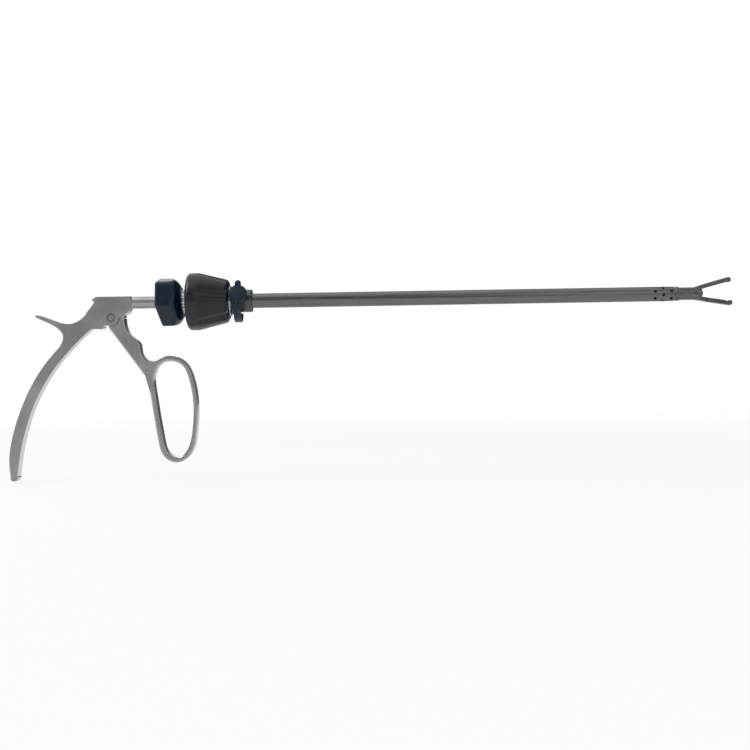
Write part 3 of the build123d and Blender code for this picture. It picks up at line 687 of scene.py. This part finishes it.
def cap_outline(angle):
    """Soft maximum of the disc's radius and the tab's: its straight sides stand half a tab width
    from the middle line, and its end is a half circle."""
    off = np.arctan2(np.sin(angle - np.pi / 2), np.cos(angle - np.pi / 2))
    within = tab_half**2 - (tab_centre * np.sin(off)) ** 2
    end = tab_centre * np.cos(off) + np.sqrt(np.clip(within, 0, None))
    sides = tab_half / np.clip(np.abs(np.sin(off)), 0.05, None)
    tab = np.where((within > 0) & (np.cos(off) > 0), end, np.where(np.cos(off) > 0, sides, 0))
    return soft_max(np.full_like(angle, cap_round), tab, 0.22)


print("tab reaches", tab_centre + tab_half, "mm from the middle of the disc")

# %% [markdown]
# The skin starts near the middle of the domed top, goes over the edge to the underside, and then
# follows the skirt and the plug, which are turned shapes and need only a list of heights and radii.

# %% Skin of the cap
sweep = np.linspace(0, 2 * np.pi, 240, endpoint=False)
cap_base = 11.55
cap_top = cap_base + 1.7
cap_edge = 0.55
cap_swell = 0.18
cap_under_edge = 0.35
cap_rows = []


def cap_row(height, radius):
    """One ring at a height on the port's axis."""
    radius = np.broadcast_to(radius, sweep.shape)
    height = np.broadcast_to(height, sweep.shape)
    spokes = np.cos(sweep)[:, None] * port_side + np.sin(sweep)[:, None] * port_up
    cap_rows.append(port_place + height[:, None] * port_aim + radius[:, None] * spokes)


cap_rim = cap_outline(sweep)
for share in np.linspace(0.02, 1, 12):
    radius = share * (cap_rim - cap_edge)
    swell = cap_swell * np.clip(1 - (radius / (cap_round - cap_edge)) ** 2, 0, None)
    cap_row(cap_top - cap_swell + swell, radius)
for turn in np.linspace(0, np.pi / 2, 7)[1:]:
    ring = cap_rim - cap_edge * (1 - np.sin(turn))
    cap_row(cap_top - cap_swell - cap_edge * (1 - np.cos(turn)), ring)
for turn in np.linspace(0, np.pi / 2, 6):
    ring = cap_rim - cap_under_edge * (1 - np.cos(turn))
    cap_row(cap_base + cap_under_edge * (1 - np.sin(turn)), ring)
skirt = ((0, 3.9), (2.4, 3.9), (2.6, 3.7), (2.6, 3.0), (0, 3.0))
plug = ((0, 1.92), (3.1, 1.92), (3.4, 1.6), (3.4, 0.1))
for depth, radius in skirt + plug:
    cap_row(cap_base - depth, radius)
cap_skin = skin(np.array(cap_rows), wrap_rows=False)
port_cap = make_piece("port_cap_skin", [cap_skin], "port_cap", "cap")

# %% [markdown]
# ## The cap strap
#
# The strap is one moulding: a ring round the hub and a ribbon that hangs in front of it, with two
# ribs along its face. A ribbon is a section carried along a path. The path is a few straight runs
# whose corners are rounded by short parabolas, and the section is a flat bar with two low waves.

# %% Path of the ribbon
def rounded_path(corners, reach, steps):
    """Points along straight runs whose corners are replaced by parabolas that start and end the
    reach away from the corner."""
    corners = np.array(corners, float)
    before = corners[:-2] - corners[1:-1]
    after = corners[2:] - corners[1:-1]
    before = corners[1:-1] + reach * before / np.linalg.norm(before, axis=1)[:, None]
    after = corners[1:-1] + reach * after / np.linalg.norm(after, axis=1)[:, None]
    corner = corners[1:-1][:, None]
    t = np.linspace(0, 1, steps)[None, :, None]
    bends = (1 - t) ** 2 * before[:, None] + 2 * t * (1 - t) * corner + t**2 * after[:, None]
    return np.concatenate([corners[:1], bends.reshape(-1, 2), corners[-1:]])


def evenly(points, count):
    """The same path with its points at equal distances."""
    lengths = np.concatenate([[0], np.cumsum(np.linalg.norm(np.diff(points, axis=0), axis=1))])
    places = np.linspace(0, lengths[-1], count)
    return np.stack([np.interp(places, lengths, points[:, i]) for i in range(2)], axis=1)


strap_corners = [(-13.0, -2.7), (-13.3, -11.9), (-7.9, -14.1), (-2.9, -13.3), (-0.8, -8.7)]
strap_back = evenly(rounded_path(strap_corners, 2.4, 14), 90)
strap_length = np.linalg.norm(np.diff(strap_back, axis=0), axis=1).sum()
print("strap length", round(float(strap_length), 1), "mm")

# %% [markdown]
# The section is written as one closed curve. Powers below one of cosine and sine make its nearly
# square corners, and two bell curves add the ribs on the outer face only.

# %% Section of the ribbon
section = np.linspace(0, 2 * np.pi, 72, endpoint=False)
rib_place = 1.35
rib_width = 0.42
rib_height = 0.42
ribbon_thickness = 0.95


def strap_section(half_width):
    """Flat bar with rounded sides: the sideways place is a rounded square wave of the angle, and
    the outer face carries two ribs shaped as bell curves."""
    sideways = half_width * np.sign(np.cos(section)) * np.abs(np.cos(section)) ** 0.35
    outwards = 0.5 + 0.5 * np.sign(np.sin(section)) * np.abs(np.sin(section)) ** 0.4
    ribs = np.exp(-(((np.abs(sideways) - rib_place) / rib_width) ** 2))
    return sideways, outwards * (ribbon_thickness + rib_height * ribs * (outwards > 0.5))


print("ribs stand", rib_height, "mm proud")

# %% [markdown]
# The section is carried along the path with its back on the path and its face outwards. The ring is
# the same idea once more, with a small squarish bead carried round the hub.

# %% Skin of ribbon and ring
strap_widens, strap_half_widths = [-7.5, -2.0], [2.6, 3.6]
ring_place, ring_half = -12.5, 1.5
ring_middle, ring_wall = 8.48, 1.4
flow = np.gradient(strap_back, axis=0)
flow /= np.linalg.norm(flow, axis=1)[:, None]
outward = np.stack([flow[:, 1], -flow[:, 0]], axis=1)
if (outward[20] * strap_back[20]).sum() < 0:
    outward = -outward
ribbon_rows = []
for point, normal in zip(strap_back, outward):
    half = float(np.interp(point[1], strap_widens, strap_half_widths))
    sideways, lift = strap_section(half)
    yz = point + lift[:, None] * normal
    ribbon_rows.append(np.stack([port_place[0] + sideways, yz[:, 0], yz[:, 1]], axis=-1))
bead = np.linspace(0, 2 * np.pi, 40, endpoint=False)
bead_x = ring_place + ring_half * np.sign(np.cos(bead)) * np.abs(np.cos(bead)) ** 0.4
bead_r = ring_middle + ring_wall / 2 * np.sign(np.sin(bead)) * np.abs(np.sin(bead)) ** 0.4
ring_angle = np.linspace(0, 2 * np.pi, 120, endpoint=False)[None, :]
ring_rows = np.stack(
    [
        bead_x[:, None] + 0 * ring_angle,
        bead_r[:, None] * np.cos(ring_angle),
        bead_r[:, None] * np.sin(ring_angle),
    ],
    axis=-1,
)
strap = make_piece(
    "cap_strap_skin", [skin(np.array(ribbon_rows), wrap_rows=False), skin(ring_rows)],
    "cap_strap", "shaft_unit",
)

# %% [markdown]
# ## Finishes
#
# Every finish is built on the same shader with its colour, roughness and relief driven by noises at
# the scale of the real marks: bead blasting is a fraction of a millimetre, drawing streaks on the
# tube are centimetres long, and fingerprints and handling marks are soft clouds.

# %% One material with its shader
def finish_of(title, metallic):
    """A new material, its node tree and its shader."""
    material = bpy.data.materials.new(title)
    material.use_nodes = True
    shader = material.node_tree.nodes["Principled BSDF"]
    shader.inputs["Metallic"].default_value = metallic
    return material, material.node_tree, shader


finishes = {}

# %% [markdown]
# The handles are forged stainless steel. Their flat faces are blasted to a warm satin grey and
# their rims are polished. Two materials could be split by face, but one material that looks at the
# surface's own direction does it without a seam: where the surface looks sideways it is blasted.

# %% Where on the handles a point lies
def facing_side(tree, start, stop):
    """1 where the surface looks along the width of the handles, 0 on the rims."""
    place = add(tree, "ShaderNodeTexCoord")
    parts = add(tree, "ShaderNodeSeparateXYZ")
    tree.links.new(place.outputs["Normal"], parts.inputs[0])
    size = combine(tree, "ABSOLUTE", parts.outputs["Y"], 0)
    return ramp(tree, size, start, stop, 0.0, 1.0)


def along(tree, axis, start, stop):
    """0 before start and 1 after stop along one axis of the piece."""
    place = add(tree, "ShaderNodeTexCoord")
    parts = add(tree, "ShaderNodeSeparateXYZ")
    tree.links.new(place.outputs["Object"], parts.inputs[0])
    return ramp(tree, parts.outputs[axis], start, stop, 0.0, 1.0)


def pivot_distance(tree):
    """Distance of a point from the pivot of the front handle, seen from the side, in metres."""
    place = add(tree, "ShaderNodeTexCoord")
    flat = add(tree, "ShaderNodeVectorMath", operation="MULTIPLY")
    flat.inputs[1].default_value = (1, 0, 1)
    tree.links.new(place.outputs["Object"], flat.inputs[0])
    away = add(tree, "ShaderNodeVectorMath", operation="DISTANCE")
    away.inputs[1].default_value = pivot_place
    tree.links.new(flat.outputs[0], away.inputs[0])
    return away.outputs["Value"]


def seam(tree, distance, radius, half_width):
    """1 on a ring of the given radius round the pivot, 0 beside it."""
    off = combine(tree, "ABSOLUTE", combine(tree, "SUBTRACT", distance, radius), 0)
    return ramp(tree, off, half_width * 0.5, half_width * 1.5, 1.0, 0.0)


low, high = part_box("pivot_screw")
pivot_place = ((low[0] + high[0]) / 2, 0, (low[2] + high[2]) / 2)
print("pivot at", [round(v, 4) for v in pivot_place])

# %% [markdown]
# The colour starts with a cloudy satin grey and a brighter rim. The ring round the screw is a dark
# joint, and the wall of the joint gap is darkened. The band just past each rim is painted shade: a
# dark line that stands in for the reflection of dark surroundings. It is all only a dark tint on
# rings whose radii are known, and on a band of surface directions.

# %% Colour of the handle steel
shank_starts = (-0.086, -0.082)
shank_above = (-0.008, -0.006)
rim_steel = (0.72, 0.72, 0.735)
satin_dark, satin_light = (0.405, 0.393, 0.398), (0.475, 0.462, 0.467)
# Near black for the dark joints round the screw and for the painted shade beside the rims.
joint_and_shade_black = (0.035, 0.035, 0.04)
seat_seam, head_seam, gap_seam = 0.00290, 0.00222, 0.00575
# Strength of the painted shade beside the rims.
painted_crease_strength = 0.5
material, tree, shader = finish_of("handle_steel", 1.0)
shank = combine(tree, "MULTIPLY", along(tree, "X", *shank_starts), along(tree, "Z", *shank_above))
blasted = combine(tree, "MAXIMUM", facing_side(tree, 0.90, 0.985), shank)
cloud = grain(tree, 55, detail=4)
satin = tint(tree, ramp(tree, cloud, 0.3, 0.7, 0.0, 1.0), satin_dark, satin_light)
steel = tint(tree, blasted, rim_steel, satin)
reach = pivot_distance(tree)
seat_line = seam(tree, reach, seat_seam, 0.00012)
head_line = seam(tree, reach, head_seam, 0.00010)
dark_joints_and_painted_shade = combine(tree, "MAXIMUM", seat_line, head_line)
gap_wall = combine(tree, "SUBTRACT", seam(tree, reach, gap_seam, 0.0005), blasted)
dark_joints_and_painted_shade = combine(tree, "MAXIMUM", dark_joints_and_painted_shade, gap_wall)
# Painted shade: a band of surface directions just past each rim is darkened. It is a dark line that
# stands in for the reflection of dark surroundings.
past_rim, on_flat = facing_side(tree, 0.62, 0.78), facing_side(tree, 0.86, 0.96)
painted_crease_shade = combine(tree, "SUBTRACT", past_rim, on_flat)
painted_crease_shade = combine(tree, "SUBTRACT", combine(tree, "MULTIPLY", painted_crease_shade, painted_crease_strength), shank)
dark_joints_and_painted_shade = combine(tree, "MAXIMUM", dark_joints_and_painted_shade, painted_crease_shade)
# The dark joints, the darkened gap wall and the painted shade are mixed into the steel's colour.
tree.links.new(tint(tree, dark_joints_and_painted_shade, steel, joint_and_shade_black), shader.inputs["Base Color"])
print("colour nodes:", len(tree.nodes))

# %% [markdown]
# Blasting leaves pits of a fraction of a millimetre and an even gloss. Polishing leaves strokes
# across the rim. Both are a roughness between two limits, and the pits also get a little relief.

# %% Gloss and relief of the handle steel
blast_pits = 0.000012
grit = grain(tree, 2600, detail=2)
strokes = grain(tree, 1400, (0.05, 1.0, 0.05), detail=2)
matt_cloud = ramp(tree, cloud, 0.25, 0.75, 0.34, 0.44)
matt_part = combine(tree, "ADD", matt_cloud, ramp(tree, grit, 0.3, 0.7, -0.03, 0.03))
shiny_part = ramp(tree, strokes, 0.3, 0.7, 0.13, 0.22)
difference = combine(tree, "SUBTRACT", matt_part, shiny_part)
roughness = combine(tree, "ADD", combine(tree, "MULTIPLY", difference, blasted), shiny_part)
tree.links.new(roughness, shader.inputs["Roughness"])
height = combine(tree, "MULTIPLY", grit, blasted)
tree.links.new(relief(tree, height, blast_pits), shader.inputs["Normal"])
finishes["handle_steel"] = material
print("handle steel nodes:", len(tree.nodes))

# %% [markdown]
# The shaft is a drawn tube. Its streaks run lengthwise, so the noise is stretched forty times along
# the shaft, and soft smears where it was held make the gloss uneven. The other turned metals are
# the same graph with their own colours, gloss and direction of the streaks.

# %% Tube steel and the other turned metals
def streaked_steel(title, dark, light, low, high, stretch, scale):
    """Metal with streaks along one axis and soft smears that dull it."""
    material, tree, shader = finish_of(title, 1.0)
    streaks = grain(tree, scale, stretch, detail=4)
    smears = grain(tree, 38, detail=3)
    colour = tint(tree, ramp(tree, streaks, 0.3, 0.7, 0.0, 1.0), dark, light)
    tree.links.new(colour, shader.inputs["Base Color"])
    smeared = ramp(tree, smears, 0.45, 0.75, 0.0, 0.10)
    dull = combine(tree, "ADD", ramp(tree, streaks, 0.3, 0.7, low, high), smeared)
    tree.links.new(dull, shader.inputs["Roughness"])
    tree.links.new(relief(tree, streaks, 0.000010), shader.inputs["Normal"])
    return material


lengthwise, short_lengthwise, crosswise = (0.025, 1, 1), (0.25, 1, 1), (1, 0.1, 0.1)
for name, dark, light, low, high, stretch, scale in (
    ("tube_steel", (0.165, 0.165, 0.171), (0.215, 0.215, 0.222), 0.20, 0.32, lengthwise, 900),
    ("jaw_steel", (0.13, 0.124, 0.13), (0.20, 0.193, 0.20), 0.20, 0.34, short_lengthwise, 1500),
    ("hub_alloy", (0.095, 0.106, 0.103), (0.135, 0.148, 0.144), 0.26, 0.38, (1, 0.06, 0.06), 1800),
    ("polished_steel", (0.60, 0.60, 0.61), (0.72, 0.72, 0.73), 0.12, 0.22, crosswise, 1200),
    ("retainer_chrome", (0.36, 0.36, 0.37), (0.46, 0.46, 0.47), 0.08, 0.16, crosswise, 1000),
    ("bush_bronze", (0.42, 0.28, 0.12), (0.55, 0.38, 0.17), 0.25, 0.4, crosswise, 1500),
):
    finishes[name] = streaked_steel(name, dark, light, low, high, stretch, scale)
print("metals:", sorted(finishes))

# %% [markdown]
# The moulded pieces are nearly black blue or black violet. Real mouldings are never even: the skin
# has a fine orange-peel relief, and corners that are handled turn paler and rougher. The distance
# from the shaft's axis tells where those corners are. A thin clear coat gives nut and knob the
# gloss of a pressed skin over the duller colour below.

# %% Moulded plastic and silicone
def distance_from_axis(tree):
    """Distance of a point from the shaft's axis, in metres."""
    place = add(tree, "ShaderNodeTexCoord")
    flat = add(tree, "ShaderNodeVectorMath", operation="MULTIPLY")
    flat.inputs[1].default_value = (0, 1, 1)
    tree.links.new(place.outputs["Object"], flat.inputs[0])
    length = add(tree, "ShaderNodeVectorMath", operation="LENGTH")
    tree.links.new(flat.outputs[0], length.inputs[0])
    return length.outputs["Value"]


def moulded(title, deep, pale, worn, wear_from, wear_to, low, high, gloss=0.0):
    """Dark moulding with a cloudy colour, orange-peel relief, and paler handled corners between two
    distances from the axis. Gloss is the weight of the clear coat."""
    material, tree, shader = finish_of(title, 0.0)
    cloud = grain(tree, 120, detail=4)
    peel = grain(tree, 1300, detail=3)
    scuffs = grain(tree, 420, (0.25, 1, 1), detail=5)
    body = tint(tree, ramp(tree, cloud, 0.3, 0.7, 0.0, 1.0), deep, pale)
    reach = ramp(tree, distance_from_axis(tree), wear_from, wear_to, 0.0, 1.0)
    wear = combine(tree, "MULTIPLY", reach, ramp(tree, scuffs, 0.42, 0.68, 0.15, 0.75))
    tree.links.new(tint(tree, wear, body, worn), shader.inputs["Base Color"])
    worn_dull = combine(tree, "MULTIPLY", wear, 0.12)
    dull = combine(tree, "ADD", ramp(tree, cloud, 0.3, 0.7, low, high), worn_dull)
    tree.links.new(dull, shader.inputs["Roughness"])
    tree.links.new(relief(tree, peel, 0.000006), shader.inputs["Normal"])
    shader.inputs["Specular IOR Level"].default_value = 0.36
    shader.inputs["Coat Weight"].default_value = gloss
    shader.inputs["Coat Roughness"].default_value = 0.16
    return material


finishes["nut_plastic"] = moulded(
    "nut_plastic", (0.002, 0.010, 0.026), (0.004, 0.016, 0.037), (0.02, 0.035, 0.06),
    0.0164, 0.0178, 0.16, 0.26, 0.15,
)
finishes["knob_plastic"] = moulded(
    "knob_plastic", (0.008, 0.0065, 0.0115), (0.013, 0.011, 0.017), (0.035, 0.031, 0.038),
    0.0188, 0.0197, 0.24, 0.34, 0.2,
)
finishes["cap_silicone"] = moulded(
    "cap_silicone", (0.007, 0.017, 0.032), (0.012, 0.025, 0.043), (0.06, 0.075, 0.105),
    0.0140, 0.0170, 0.26, 0.38, 0.1,
)
finishes["seal_silicone"] = moulded(
    "seal_silicone", (0.02, 0.02, 0.02), (0.035, 0.035, 0.035), (0.05, 0.05, 0.05),
    0.01, 0.02, 0.4, 0.55,
)
finishes["guide_plastic"] = moulded(
    "guide_plastic", (0.62, 0.61, 0.57), (0.72, 0.70, 0.66), (0.75, 0.73, 0.7),
    0.01, 0.02, 0.4, 0.5,
)
print("finishes:", len(finishes))

# %% [markdown]
# ## Dressing the pieces
#
# The record that came with the measured model names a finish for each piece. The measured meshes
# keep their shape and only change their material.

# %% Every piece gets its finish
lock_nut.data.materials.append(finishes["nut_plastic"])
knob.data.materials.append(finishes["knob_plastic"])
port_cap.data.materials.append(finishes["cap_silicone"])
strap.data.materials.append(finishes["cap_silicone"])
for row in frame["record"]["subparts"]:
    measured = nodes[row["node"]]
    measured.data.materials.clear()
    measured.data.materials.append(finishes[row["material_slot"]])
print("finishes:", sorted(finishes))

# %% [markdown]
# ## Last check
#
# The dressed object must keep the measured size, so its box is measured again and the largest
# change from the measured box is printed.

# %% Sizes and finish
new_box = [list(corner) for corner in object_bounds()]
growth = max(abs(a - b) for p, q in zip(cad_box, new_box) for a, b in zip(p, q))
print("largest change of the box", growth)
